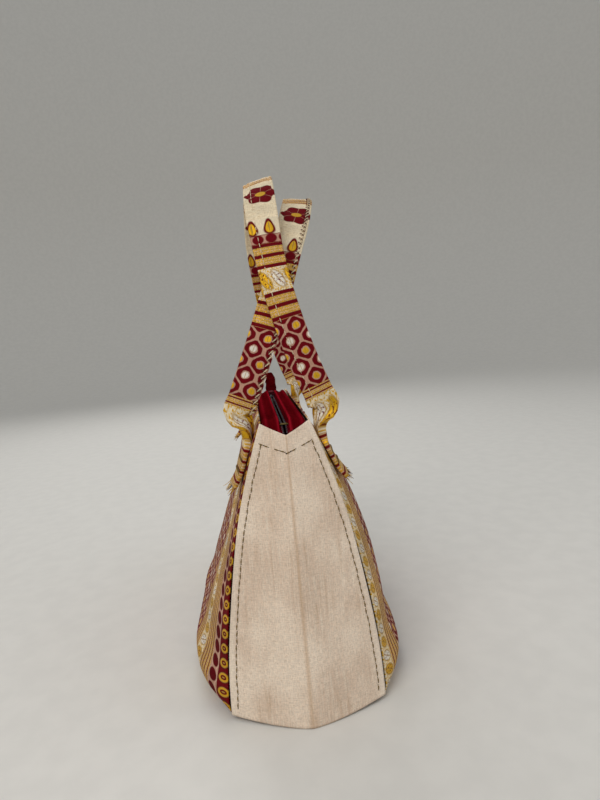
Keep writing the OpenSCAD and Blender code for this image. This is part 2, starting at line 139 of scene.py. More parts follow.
def weave_bands(piece, bands):
    """Gives each face the cloth of the band that it lies in, by the second number of its uv.

    The uv is then counted from the band's own zero.
    """
    mesh = piece.data
    mesh.materials.clear()
    materials = list(dict.fromkeys(band[0] for band in bands))
    for material in materials:
        mesh.materials.append(material)
    uv = np.zeros(len(mesh.loops) * 2, np.float32)
    layer = mesh.uv_layers["UVMap"].data
    layer.foreach_get("uv", uv)
    uv = uv.reshape(-1, 2).astype(float)
    first = np.zeros(len(mesh.polygons), np.int32)
    total = np.zeros(len(mesh.polygons), np.int32)
    mesh.polygons.foreach_get("loop_start", first)
    mesh.polygons.foreach_get("loop_total", total)
    centre = np.add.reduceat(uv[:, 1], first) / total / MM
    stops = np.array([band[1] for band in bands])
    which = np.minimum(np.searchsorted(stops, centre), len(bands) - 1)
    of_loop = np.repeat(which, total)
    zero = np.array([band[2:4] for band in bands], float)[of_loop] * MM
    scale = np.array([band[4] for band in bands], float)[of_loop]
    uv = (uv - zero) * np.stack([np.ones_like(scale), scale], 1)
    layer.foreach_set("uv", uv.astype(np.float32).ravel())
    slots = np.array([materials.index(band[0]) for band in bands])
    mesh.polygons.foreach_set("material_index", slots[which].astype(np.int32))
    mesh.update()


def tag(piece, name, values):
    """A number at each point that a material can read."""
    mesh = piece.data
    attribute = mesh.attributes.new(name, "FLOAT", "POINT")
    attribute.data.foreach_set("value", np.asarray(values, np.float32).ravel())


def grid_normals(grid, flip):
    du = np.gradient(grid, axis=1)
    dv = np.gradient(grid, axis=0)
    n = np.cross(du, dv)
    n /= np.maximum(np.linalg.norm(n, axis=2, keepdims=True), 1e-9)
    return -n if flip else n


def shell(name, grid, uv, thickness, material, flip=False, tags=None):
    """A closed sheet: grid is its outer face, rows x columns x 3, and it is thickness deep."""
    rows, columns = grid.shape[:2]
    inner = grid - grid_normals(grid, flip) * thickness
    points = np.concatenate([grid.reshape(-1, 3), inner.reshape(-1, 3)])
    count = rows * columns
    index = np.arange(count).reshape(rows, columns)
    a = index[:-1, :-1].ravel()
    skin = np.stack([a, a + 1, a + columns + 1, a + columns], 1)
    ring = np.concatenate([index[0], index[1:, -1], index[-1, -2::-1], index[-2:0:-1, 0]])
    after = np.roll(ring, -1)
    wall = np.stack([ring, ring + count, after + count, after], 1)
    faces = np.concatenate([skin, skin[:, ::-1] + count, wall])
    if flip:
        faces = faces[:, ::-1]
    flat = uv.reshape(-1, 2)
    piece = new_mesh(name, points, faces, material, np.concatenate([flat, flat]))
    for key, values in (tags or {}).items():
        tag(piece, key, np.concatenate([values.ravel(), values.ravel()]))
    return piece


def fixed(piece, slot, *nodes):
    """The piece rides on the body of the bag, and stands for these CAD nodes."""
    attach(piece, "root")
    if nodes:
        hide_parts(*nodes)


def arc_lengths(path):
    steps = np.linalg.norm(np.diff(path, axis=0), axis=1)
    return np.concatenate([[0], np.cumsum(steps)])


def frames(path, across):
    """Directions along, across and out of a strap at each point of its path."""
    along = np.gradient(path, axis=0)
    along /= np.linalg.norm(along, axis=1, keepdims=True)
    across = across - along * np.sum(along * across, 1, keepdims=True)
    across /= np.linalg.norm(across, axis=1, keepdims=True)
    return along, across, np.cross(across, along)


def ring_faces(n, m):
    """Quads between n rings of m points each, and a lid on each end."""
    i, k = np.meshgrid(np.arange(n - 1) * m, np.arange(m), indexing="ij")
    k2 = (k + 1) % m
    quads = np.stack([i + k, i + k2, i + m + k2, i + m + k], 2).reshape(-1, 4).tolist()
    return [*quads, list(range(m))[::-1], [(n - 1) * m + k for k in range(m)]]


def sweep(path, across, width, thick, profile, lengths=None, pleat=0.0):
    """Points, faces and uv of a closed strap.

    profile is a ring of (share of half width, share of half thickness).
    """
    n, m = len(path), len(profile)
    _, side, out = frames(path, across)
    px, py = profile[:, 0], profile[:, 1]
    offset = py[None, :] * thick[:, None] / 2 + pleat
    points = (
        path[:, None, :]
        + side[:, None, :] * (px[None, :, None] * width[:, None, None] / 2)
        + out[:, None, :] * offset[:, :, None]
    )
    lengths = arc_lengths(path) if lengths is None else lengths
    uv = np.stack(np.broadcast_arrays(px[None, :] * STRAP_W / 2, lengths[:, None]), 2)
    faces = [face[::-1] for face in ring_faces(n, m)]
    return points.reshape(-1, 3), faces, uv.reshape(-1, 2)


def tubes(name, curves, radius, material, sides=6):
    """One mesh of round threads; each curve is an array of points."""
    points, faces, uv, base = [], [], [], 0
    ring = np.linspace(0, 2 * math.pi, sides, endpoint=False)
    for path in curves:
        n = len(path)
        along = np.gradient(path, axis=0)
        along /= np.maximum(np.linalg.norm(along, axis=1, keepdims=True), 1e-9)
        helper = np.where(np.abs(along[:, 2:3]) > 0.9, [[1.0, 0, 0]], [[0, 0, 1.0]])
        a = np.cross(along, helper)
        a /= np.linalg.norm(a, axis=1, keepdims=True)
        b = np.cross(along, a)
        girth = radius * np.sqrt(np.clip(1 - (2 * np.linspace(0, 1, n) - 1) ** 8, 0.12, 1))
        body = (
            path[:, None, :]
            + a[:, None, :] * (np.cos(ring)[None, :, None] * girth[:, None, None])
            + b[:, None, :] * (np.sin(ring)[None, :, None] * girth[:, None, None])
        )
        points.append(body.reshape(-1, 3))
        length = arc_lengths(path)
        uv.append(np.stack(np.broadcast_arrays(ring[None, :], length[:, None]), 2).reshape(-1, 2))
        faces += [[base + k for k in face] for face in ring_faces(n, sides)]
        base += n * sides
    return new_mesh(name, np.concatenate(points), faces, material, np.concatenate(uv))


def stitch_curve(point, along, normal, length, height):
    """A stitch: it comes up through the cloth, lies on it and goes down again."""
    t = np.linspace(-1, 1, 7)
    rise = height * (1 - np.abs(t) ** 4 * 2.2)
    return point + np.outer(t * length / 2, along) + np.outer(rise, normal)


# ---- Node materials ----


def linear(r, g, b):
    """Display values from 0 to 255, as the linear colour that a shader takes."""
    channels = (((c / 255 + 0.055) / 1.055) ** 2.4 if c > 10 else c / 255 / 12.92 for c in (r, g, b))
    return (*channels, 1.0)


MAROON = linear(108, 9, 20)
DARK_RED = linear(92, 5, 14)
MAUVE = linear(192, 148, 126)
PINK = linear(210, 172, 150)
GOLD = linear(222, 172, 40)
OLD_GOLD = linear(182, 142, 70)
SILVER = linear(236, 228, 214)
CREAM = linear(236, 220, 190)
SILK = linear(226, 202, 180)
SILK_PALE = linear(238, 222, 203)
SILK_DEEP = linear(198, 164, 130)
CRIMSON = linear(88, 4, 12)
# A brighter crimson, painted on as a highlight along the satin's ridge crests.
CRIMSON_PAINTED_HIGHLIGHT = linear(176, 26, 44)
CRIMSON_DEEP = linear(44, 1, 5)
ZIP_GREY = linear(46, 26, 36)
OLIVE = linear(96, 78, 32)


def fill(tree, slot, value):
    """Sets an input of a node, or links what varies to it."""
    if isinstance(value, (int, float, tuple)):
        slot.default_value = value
    else:
        tree.links.new(getattr(value, "socket", value), slot)


class Field:
    """A number that varies over a surface; arithmetic on it adds math nodes."""

    def __init__(self, tree, socket):
        self.tree, self.socket = tree, socket

    def math(self, kind, *values):
        node = self.tree.nodes.new("ShaderNodeMath")
        node.operation = kind
        for slot, value in zip(node.inputs, values):
            fill(self.tree, slot, value)
        return Field(self.tree, node.outputs[0])

    def __add__(self, other):
        return self.math("ADD", self, other)

    __radd__ = __add__

    def __sub__(self, other):
        return self.math("SUBTRACT", self, other)

    def __rsub__(self, other):
        return self.math("SUBTRACT", other, self)

    def __mul__(self, other):
        return self.math("MULTIPLY", self, other)

    __rmul__ = __mul__

    def __truediv__(self, other):
        return self.math("DIVIDE", self, other)

    def sin(self):
        return self.math("SINE", self)

    def cos(self):
        return self.math("COSINE", self)

    def abs(self):
        return self.math("ABSOLUTE", self)

    def root(self):
        return self.math("SQRT", self)

    def min(self, other):
        return self.math("MINIMUM", self, other)

    def below(self, other):
        return self.math("LESS_THAN", self, other)

    def wrap(self, pitch):
        """The distance from the nearest multiple of pitch, with its sign."""
        return self.math("WRAP", self, pitch / 2, -pitch / 2)

    def odd(self, pitch):
        """1 in every other cell of this pitch."""
        cell = self.math("FLOOR", self / pitch + 0.5)
        return self.math("FLOORED_MODULO", cell, 2.0)

    def smooth(self, low, high, bottom=0.0, top=1.0):
        node = self.tree.nodes.new("ShaderNodeMapRange")
        node.interpolation_type = "SMOOTHSTEP"
        self.tree.links.new(self.socket, node.inputs["Value"])
        for key, value in (("From Min", low), ("From Max", high), ("To Min", bottom), ("To Max", top)):
            node.inputs[key].default_value = value
        return Field(self.tree, node.outputs[0])


def hypot(x, y):
    return (x * x + y * y).root()


def oval(x, y, rx, ry, edge=0.12):
    return hypot(x / rx, y / ry).smooth(1 - edge, 1 + edge, 1.0, 0.0)


def turned(x, y, degrees):
    c, s = math.cos(math.radians(degrees)), math.sin(math.radians(degrees))
    return x * c + y * s, y * c - x * s


class Cloth:
    """A node material under construction: x and y are the place on the cloth, in mm."""

    def __init__(self, name, source="UV"):
        self.material = bpy.data.materials.new(name)
        self.material.use_nodes = True
        self.tree = self.material.node_tree
        self.shader = self.tree.nodes["Principled BSDF"]
        if source == "UV":
            node = self.tree.nodes.new("ShaderNodeUVMap")
            node.uv_map = "UVMap"
            place = node.outputs["UV"]
        else:
            node = self.tree.nodes.new("ShaderNodeTexCoord")
            place = node.outputs["Object"]
        split = self.tree.nodes.new("ShaderNodeSeparateXYZ")
        self.tree.links.new(place, split.inputs[0])
        self.x, self.y, self.z = (Field(self.tree, split.outputs[k]) * 1000 for k in range(3))
        self.colour = None
        self.metal = None

    def attribute(self, name):
        node = self.tree.nodes.new("ShaderNodeAttribute")
        node.attribute_name = name
        return Field(self.tree, node.outputs["Fac"])

    def noise(self, sx, sy, detail=2.0, seed=0.0, sz=None, rough=0.5):
        """Noise from 0 to 1 with sx and sy cells for each mm."""
        join = self.tree.nodes.new("ShaderNodeCombineXYZ")
        fill(self.tree, join.inputs[0], self.x * sx + seed)
        fill(self.tree, join.inputs[1], self.y * sy + seed * 1.7)
        if sz is not None:
            fill(self.tree, join.inputs[2], self.z * sz)
        node = self.tree.nodes.new("ShaderNodeTexNoise")
        place = join.outputs[0]
        for key, value in (("Scale", 1.0), ("Detail", detail), ("Roughness", rough), ("Vector", place)):
            fill(self.tree, node.inputs[key], value)
        return Field(self.tree, node.outputs["Fac"])

    def blend_colours(self, a, b, amount):
        node = self.tree.nodes.new("ShaderNodeMix")
        node.data_type = "RGBA"
        for slot, value in ((6, a), (7, b), (0, amount)):
            fill(self.tree, node.inputs[slot], value)
        return node.outputs[2]

    def tint(self, colour, amount):
        self.colour = self.blend_colours(self.colour, colour, amount)

    def coat(self, mask, colour, metal=0.0):
        """Weaves a colour in where mask is 1."""
        self.tint(colour, mask)
        self.metal = self.metal * (1 - mask) + mask * metal

    def ground(self, colour, metal=0.0):
        self.colour = colour
        self.metal = self.x * 0 + metal

    def shade(self, factor):
        """Multiplies the colour by a number that varies."""
        node = self.tree.nodes.new("ShaderNodeVectorMath")
        node.operation = "SCALE"
        plain_colour = isinstance(self.colour, tuple)
        fill(self.tree, node.inputs[0], self.colour[:3] if plain_colour else self.colour)
        fill(self.tree, node.inputs["Scale"], factor)
        self.colour = node.outputs[0]

    def finish(self, rough, height=None, depth=0.1, strength=0.6, sheen=0.0, sheen_tint=None, specular=0.5):
        """Feeds everything to the shader. height is in mm times depth."""
        looks = {"Base Color": self.colour, "Roughness": rough, "Specular IOR Level": specular}
        if self.metal is not None:
            looks["Metallic"] = self.metal
        if sheen:
            looks |= {"Sheen Weight": sheen, "Sheen Roughness": 0.4}
        if sheen_tint:
            looks["Sheen Tint"] = sheen_tint
        if height is not None:
            bump = self.tree.nodes.new("ShaderNodeBump")
            bump.inputs["Strength"].default_value = strength
            bump.inputs["Distance"].default_value = depth * MM
            fill(self.tree, bump.inputs["Height"], height)
            looks["Normal"] = bump.outputs[0]
        for key, value in looks.items():
            fill(self.tree, self.shader.inputs[key], value)
        return self.material


# ---- Woven motifs: x runs along a row and y across it, in mm ----


def honeycomb(c):
    """Rounded maroon cells with pale outlines and gold or silver centres, in staggered rows."""
    px, py = 14.4, 17.8
    x, y = c.x, c.y
    ax, ay = x.wrap(px), y.wrap(py)
    bx, by = (x + px / 2).wrap(px), (y + py / 2).wrap(py)
    da, db = hypot(ax, ay), hypot(bx, by)
    first = da.below(db)
    near_x = ax * first + bx * (1 - first)
    near = da.min(db)
    border = ((da * da - db * db).abs() / 22.9).min(px / 2 - near_x.abs())
    wobble = c.noise(0.3, 0.3, 2.0, 11.0) * 1.6 - 0.8
    rim = border.min(6.55 - near) + wobble * 0.5
    c.ground(MAUVE, 0.1)
    c.coat(rim.smooth(0.4, 0.8), MAROON)
    c.coat((near + wobble).smooth(2.7, 3.1, 1.0, 0.0), MAUVE)
    heart = (near + wobble).smooth(1.9, 2.4, 1.0, 0.0)
    c.coat(heart * first, GOLD, 0.8)
    c.coat(heart * (1 - first), SILVER, 0.5)
    c.coat(heart * near_x.abs().smooth(0.15, 0.4, 0.6, 0.0), OLD_GOLD, 0.3)


def jewels(c):
    """Gold and silver leaves along a cream and gold ground."""
    c.ground(CREAM, 0.1)
    speck = c.noise(0.8, 0.8, 3.0, 3.1)
    c.coat(speck.smooth(0.5, 0.58), GOLD, 0.75)
    side = c.x.odd(9.0)
    lx, ly = turned(c.x.wrap(9.0), c.y, 24)
    c.coat(oval(lx, ly, 3.5, 7.4, 0.14), OLD_GOLD, 0.4)
    inner = oval(lx, ly, 2.8, 6.6, 0.16)
    c.coat(inner * side, GOLD, 0.8)
    c.coat(inner * (1 - side), SILVER, 0.5)
    c.coat(inner * (lx + ly * 0.1).abs().smooth(0.2, 0.5, 0.8, 0.0), OLD_GOLD, 0.4)
    c.coat(inner * speck.smooth(0.56, 0.6), MAROON)


def lines(c, pitch, half, fine):
    """A maroon line at each multiple of pitch, on a ground of fine gold lines."""
    c.ground(PINK, 0.1)
    c.coat(c.y.wrap(fine).abs().smooth(0.22 * fine, 0.36 * fine, 1.0, 0.0), OLD_GOLD, 0.5)
    c.coat(c.noise(1.1, 1.6, 3.0, 3.0).smooth(0.46, 0.54), GOLD, 0.8)
    c.coat(c.noise(1.7, 1.7, 2.0, 5.0).smooth(0.58, 0.66), CREAM, 0.2)
    c.coat(c.y.wrap(pitch).abs().smooth(half - 0.25, half + 0.25, 1.0, 0.0), MAROON)


def dots(c):
    """A row of solid maroon dots."""
    c.ground(MAUVE, 0.1)
    c.coat(c.y.abs().smooth(2.9, 3.3), MAROON)
    c.coat(oval(c.x.wrap(8.6), c.y, 3.7, 3.5), MAROON)


def drops(c):
    """A row of gold drops with maroon edges."""
    c.ground(CREAM, 0.05)
    x, y = c.x.wrap(11.0), c.y
    taper = y.smooth(-6, 7, 1.0, 2.1)
    c.coat(oval(x * taper, y, 4.9, 6.8), MAROON)
    c.coat(oval(x * taper, y + 0.6, 3.1, 4.6), GOLD, 0.8)
    c.coat(oval(x, y, 0.35, 4.2, 0.4), OLD_GOLD, 0.3)


def plain(c):
    """Cream with a few fine gold floats."""
    c.ground(CREAM, 0.05)
    c.coat(c.noise(0.35, 1.6, 2.0, 2.0).smooth(0.48, 0.7, 0.0, 0.45), OLD_GOLD, 0.35)


def bloom(c):
    """One six-petalled flower with a gold heart."""
    plain(c)
    x, y = c.x, c.y
    angle = x.math("ARCTAN2", y, x)
    reach = (angle * 6 + 0.6).cos() * 0.9 + 8.3
    petals = (hypot(x * 0.84, y * 0.76) / reach).smooth(0.94, 1.0, 1.0, 0.0)
    c.coat(petals, MAROON)
    veins = (angle * 3 + 1.87).sin().abs().smooth(0.03, 0.1, 1.0, 0.0)
    c.coat(petals * veins, MAUVE, 0.1)
    c.coat(oval(x, y, 3.3, 2.6), GOLD, 0.8)


def rings(c):
    """Slanted maroon ovals with a gold ring in each."""
    c.ground(MAROON)
    lx, ly = turned(c.y, (c.x + c.y * 0.5).wrap(9.2), 12)
    c.coat(oval(lx, ly, 5.0, 3.7), DARK_RED)
    c.coat(oval(lx, ly, 4.4, 3.1), OLD_GOLD, 0.45)
    c.coat(oval(lx, ly, 4.0, 2.7), GOLD, 0.6)
    c.coat(oval(lx, ly, 2.7, 1.5), MAROON)
    c.coat(oval(lx, ly, 1.3, 0.5, 0.3), OLD_GOLD, 0.4)


def seeds(c):
    """Solid dark ovals on a mauve ground with wavy pale lines round them."""
    c.ground(MAUVE, 0.1)
    wave = (c.x * (2 * math.pi / 9.2)).cos()
    c.coat((c.y.abs() - wave * 0.9 - 3.9).abs().smooth(0.25, 0.6, 1.0, 0.0), PINK, 0.2)
    c.coat(oval(c.y, c.x.wrap(9.2), 4.1, 3.9), DARK_RED)


def weave(c, scale=1.0):
    """Fine ribs of the weave, as a height from 0 to 1."""
    ribs = (c.y * (2 * math.pi / (0.8 * scale))).sin() * (c.x * (2 * math.pi / (0.8 * scale))).sin()
    return ribs * 0.25 + 0.5


def brocade(name, motif, *sizes):
    c = Cloth(name)
    motif(c, *sizes)
    wear = c.noise(0.06, 0.06, 3.0, 8.0)
    thread = c.noise(2.2, 0.35, 2.0, 5.0)
    c.shade(wear.smooth(0.25, 0.75, 0.86, 1.1) * thread.smooth(0.2, 0.8, 0.84, 1.12))
    rough = 0.66 - c.metal * 0.3 + thread * 0.1
    height = weave(c) + c.metal * 0.9 + thread * 0.5
    return c.finish(rough, height, depth=0.22, strength=0.7, specular=0.05)


def raw_silk(name):
    """Slubby silk: uneven threads both ways, paler outside the stitch line, and deeper along the crease as
    painted shade.
    """
    c = Cloth(name)
    warp = c.noise(1.3, 0.05, 3.0, 2.0)
    weft = c.noise(0.06, 1.9, 3.0, 6.0)
    slub = c.noise(0.35, 0.02, 2.0, 9.0)
    cloud = c.noise(0.03, 0.02, 2.0, 4.0)
    grain = c.noise(1.3, 0.7, 3.0, 13.0, rough=0.7)
    c.colour = SILK
    c.tint(SILK_PALE, warp.smooth(0.42, 0.72, 0.0, 0.85))
    c.tint(SILK_DEEP, weft.smooth(0.5, 0.74, 0.0, 0.3))
    c.tint(SILK_DEEP, slub.smooth(0.56, 0.72, 0.0, 0.4))
    c.tint(SILK_PALE, cloud.smooth(0.4, 0.66, 0.0, 0.75))
    c.tint(SILK_DEEP, grain.smooth(0.5, 0.72, 0.0, 0.6))
    c.tint(SILK_PALE, c.attribute("edge").smooth(2.6, 4.2, 0.55, 0.0))
    # Painted shade: the silk is darker along the gusset's crease.
    c.tint(SILK_DEEP, c.attribute("crease").smooth(0.0, 0.05, 0.55, 0.0))
    fine = c.noise(2.0, 0.3, 2.0, 21.0) + c.noise(0.3, 2.0, 2.0, 31.0)
    c.shade(fine.smooth(0.75, 1.25, 0.88, 1.1) * cloud.smooth(0.3, 0.7, 0.93, 1.06))
    height = warp * 0.8 + weft * 0.9 + slub * 0.8 + weave(c, 0.8) * 0.5
    return c.finish(0.5 + warp * 0.2, height, depth=0.25, strength=0.5, sheen=0.08, specular=0.3)


def satin(name, colour, deep):
    c = Cloth(name)
    fold = c.noise(0.02, 0.28, 2.0, 3.0)
    thread = c.noise(0.15, 3.0, 2.0, 7.0)
    # Painted shade: the colour goes deeper in streaks along the folds, which also make the bump.
    c.colour = c.blend_colours(colour, deep, fold.smooth(0.45, 0.75, 0.0, 0.6))
    # Painted highlight: a brighter crimson along the ridge crests that zip_quarter marks on the satin.
    c.tint(CRIMSON_PAINTED_HIGHLIGHT, c.attribute("painted_highlight") * (thread * 0.6 + 0.5))
    c.shade(thread.smooth(0.3, 0.7, 0.9, 1.1))
    height = thread * 0.6 + fold * 2.5
    glow = linear(210, 40, 52)
    return c.finish(
        0.42 + thread * 0.14, height, depth=0.2, strength=0.45, specular=0.0, sheen=0.12, sheen_tint=glow
    )


def spun(name, colour, other, rough=0.6, pitch=0.9):
    """Twisted thread: slanting strands; x runs round the thread and y along it."""
    c = Cloth(name)
    strand = (c.x * 2 + c.y * (2 * math.pi / pitch)).sin()
    c.colour = c.blend_colours(colour, other, strand.smooth(-0.6, 0.9, 0.0, 0.7))
    return c.finish(rough, strand, depth=0.08, strength=0.7, specular=0.3)


def hard(name, colour, rough, metal=0.0, grain=0.6, coat=0.0):
    """Board, plastic or painted metal, by its place in space."""
    c = Cloth(name, "Object")
    fine = c.noise(grain, grain, 4.0, 1.0, grain)
    broad = c.noise(0.08, 0.08, 2.0, 5.0, 0.08)
    c.colour = colour
    c.shade(fine.smooth(0.3, 0.7, 0.9, 1.08) * broad.smooth(0.3, 0.7, 0.94, 1.05))
    c.shader.inputs["Metallic"].default_value = metal
    c.shader.inputs["Coat Weight"].default_value = coat
    return c.finish(fine * 0.15 + rough, fine, depth=0.05, strength=0.35)


W_COMB = brocade("brocade_comb", honeycomb)
W_JEWELS = brocade("brocade_jewels", jewels)
W_FINE = brocade("brocade_fine_lines", lines, 4.1, 0.55, 1.37)
W_WIDE = brocade("brocade_wide_lines", lines, 8.0, 1.35, 2.0)
W_DOTS = brocade("brocade_dots", dots)
W_DROPS = brocade("brocade_drops", drops)
W_PLAIN = brocade("brocade_plain", plain)
W_BLOOM = brocade("brocade_bloom", bloom)
W_RINGS = brocade("brocade_rings", rings)
W_SEEDS = brocade("brocade_seeds", seeds)
HALF_CLOTH = 121.0

# Bands of a cloth, from its near edge. Each is its material, where it stops, where it counts
# from along the row and across it, and its scale across the row.
FRONT_BANDS = [
    (W_RINGS, 9.0, 0, 3.4, 1), (W_SEEDS, 19.0, 4.6, 14.0, 1), (W_FINE, 36.0, 0, 21.0, 1),
    (W_JEWELS, 52.0, 0, 44.0, 0.95), (W_FINE, 66.0, 0, 55.0, 1), (W_COMB, 200.0, 0, 73.0, 1),
]
BACK_BANDS = [
    (W_JEWELS, 9.5, 0, 4.7, 1.6), (W_FINE, 26.0, 0, 11.5, 1), (W_COMB, 62.0, 0, 35.0, 1),
    (W_FINE, 76.0, 0, 64.0, 1), (W_SEEDS, 87.0, 4.6, 81.5, 0.9), (W_RINGS, 98.0, 0, 92.5, 1),
    (W_COMB, 200.0, 0, 105.0, 1),
]
STRAP_BANDS = [
    (W_FINE, -20.0, 0, -22.0, 0.6), (W_JEWELS, 6.5, -1.5, -6.5, 0.7), (W_FINE, 13.4, 0, 8.2, 1.07),
    (W_COMB, 60.8, 3.6, 19.2, 1), (W_WIDE, 79.6, 0, 62.3, 1), (W_JEWELS, 96.3, 2.0, 88.2, 1),
    (W_WIDE, 114.2, 0, 97.6, 1.05), (W_DOTS, 121.2, 3.4, 117.7, 1), (W_DROPS, 135.0, 3.4, 127.5, 1),
    (W_PLAIN, 148.0, 0, 0, 1), (W_BLOOM, 174.0, 1.0, 160.5, 1), (W_PLAIN, 178.5, 0, 0, 1),
    (W_FINE, 189.0, 0, 180.5, 1), (W_JEWELS, 208.0, 0, 198.0, 1), (W_PLAIN, 400.0, 0, 0, 1),
]


def shifted(bands, by):
    return [(material, stop - by, x, y - by, scale) for material, stop, x, y, scale in bands]


M_SILK = raw_silk("raw_silk_weave")
M_SATIN = satin("crimson_satin", CRIMSON, CRIMSON_DEEP)
M_TAPE = satin("zip_tape_weave", linear(88, 8, 18), linear(48, 4, 10))
M_OLIVE = spun("olive_thread", OLIVE, linear(168, 138, 72))
M_CREAM = spun("cream_thread", CREAM, linear(206, 180, 132))
M_DARK = spun("dark_thread", linear(70, 34, 30), linear(120, 70, 50))
M_GOLD_THREAD = spun("gold_thread", GOLD, OLD_GOLD, 0.35)
M_COIL = hard("coil_nylon", ZIP_GREY, 0.3)
# The needle holes are a dark colour: painted shade in the holes.
M_HOLE_SHADE = hard("needle_hole_shade", linear(52, 36, 22), 0.9)
M_BOARD = hard("grey_board", linear(186, 172, 146), 0.8)
M_STIFF = hard("stiffener_felt", linear(200, 192, 178), 0.9, grain=1.5)
M_METAL = hard("painted_zip_metal", linear(104, 26, 40), 0.3, metal=0.5, coat=0.4)

# ---- Body ----


def hump(z, at, width):
    return np.exp(-(((z - at) / width) ** 2))


# How far the soft middle of each side stands out of its plain curve, at five heights.
# The amounts for each side follow, within 0.3 mm, a program's fit to the photo's outline.
FULL_Z = (12, 35, 62, 95, 130)
FULL_SPREAD = (13, 17, 20, 24, 24)
FULL_FRONT = (5.6, -3.2, -5.2, -8.0, -5.4)
FULL_BACK = (3.2, -5.2, -2.3, 0.0, 2.3)


def fullness(side, z):
    amounts = FULL_FRONT if side < 0 else FULL_BACK
    out = sum(amount * hump(z, at, spread) for amount, at, spread in zip(amounts, FULL_Z, FULL_SPREAD))
    return out * np.clip(z / 8, 0, 1) * np.clip((BODY_H - z) / 20, 0, 1)


def band_steps(bands, start, stop, step):
    """Places from start to stop, about a step apart, with one on each edge of a band."""
    edges = [start, *[b[1] for b in bands if start < b[1] < stop], stop]
    parts = [np.linspace(a, b, max(2, int((b - a) / step) + 2))[:-1] for a, b in zip(edges, edges[1:])]
    return np.concatenate([*parts, [stop]])


def panel_grid(side, across, rows, vs=(0, 1), wavy=True):
    u, v = np.meshgrid(across, np.linspace(*vs, rows + 1))
    turn = np.radians(90 * np.clip((v - SIDE_SHARE) / (1 - SIDE_SHARE), 0, 1))
    h = mix(ROUND_H, END_ROUND_H, u**4)
    z = np.where(v < SIDE_SHARE, mix(BODY_H, h, v / SIDE_SHARE), h * (1 - np.sin(turn)))
    x = u * (end_x(z) - PANEL_INSET)
    inner = mix(ROUND_IN, END_ROUND_IN, u**4)
    middle = 1 - u**4
    y = side_y(x, z) - inner * (1 - np.cos(turn)) + fullness(side, z) * middle
    if wavy:
        swell = np.sin(x * 0.055 + 1.3 * side) * np.sin(z * 0.045 + 0.7) * 0.7
        swell = swell + np.sin(x * 0.13 + z * 0.05) * 0.25
        y = y + swell * middle * np.clip(z / 30, 0, 1) * np.clip((BODY_H - z) / 20, 0, 1)
    return np.stack([x, side * y, z + lift(x, y, z)], 2), u


def column_lengths(grid):
    steps = np.linalg.norm(np.diff(grid, axis=0), axis=2)
    return np.concatenate([np.zeros((1, grid.shape[1])), np.cumsum(steps, 0)])


def make_panel(side, name, bands, node):
    half = 1 - band_steps(bands, 0.0, HALF_CLOTH, 1.7) / HALF_CLOTH
    grid, u = panel_grid(side, np.concatenate([-half, half[-2::-1]]), 72)
    uv = np.stack([BODY_H - column_lengths(grid), (1 - np.abs(u)) * HALF_CLOTH], 2)
    piece = shell(name, grid, uv, BROCADE_T, W_COMB, flip=side < 0)
    weave_bands(piece, bands)
    fixed(piece, "brocade", node)


def gusset_grid(side, columns, rows, inset=0.0, us=(-1, 1), vs=(0, 1), soft=True):
    u, v = np.meshgrid(np.linspace(*us, columns + 1), np.linspace(*vs, rows + 1))
    low = HEM_UP + CORNER_LIFT * u * u
    high = BODY_H - DIP * (1 - np.abs(u))
    z = mix(low, high, v)
    crease = mix(CREASE_BOTTOM, CREASE_TOP, z / BODY_H)
    fall = np.sqrt(u * u + 0.0006)
    x = end_x(z) + crease * (1 - fall**1.3)
    y = u * (end_y(z) - inset)
    if soft:
        belly = np.sin(math.pi * np.abs(u)) * np.sin(math.pi * np.clip(v, 0, 1))
        x = x - 1.1 * belly + 0.35 * np.sin(z * 0.06 + 3 * u) * belly
        y = y + 0.5 * np.sin(z * 0.05 + 1.0) * np.abs(u) ** 3 * np.sign(u) * np.sin(math.pi * v)
    return np.stack([side * x, y, z], 2), u


def make_gusset(side, word):
    grid, u = gusset_grid(side, 96, 150)
    z = grid[:, :, 2]
    edge = (1 - np.abs(u)) * end_y(z)
    uv = grid[:, :, 1:3].copy()
    tags = {"edge": edge, "crease": np.abs(u)}
    piece = shell(f"{word}_gusset_silk", grid, uv, SILK_T, M_SILK, flip=side < 0, tags=tags)
    fixed(piece, "raw_silk", f"{word}_gusset")


def gusset_at(side, u, v):
    """A point on the gusset's face with its slopes across and up and its outward direction."""
    step = 0.004
    near, _ = gusset_grid(side, 2, 2, us=(u - step, u + step), vs=(v - step, v + step))
    across = near[1, 2] - near[1, 0]
    up = near[2, 1] - near[0, 1]
    n = np.cross(across, up) * side
    return near[1, 1], across / np.linalg.norm(across), up / np.linalg.norm(up), n / np.linalg.norm(n)


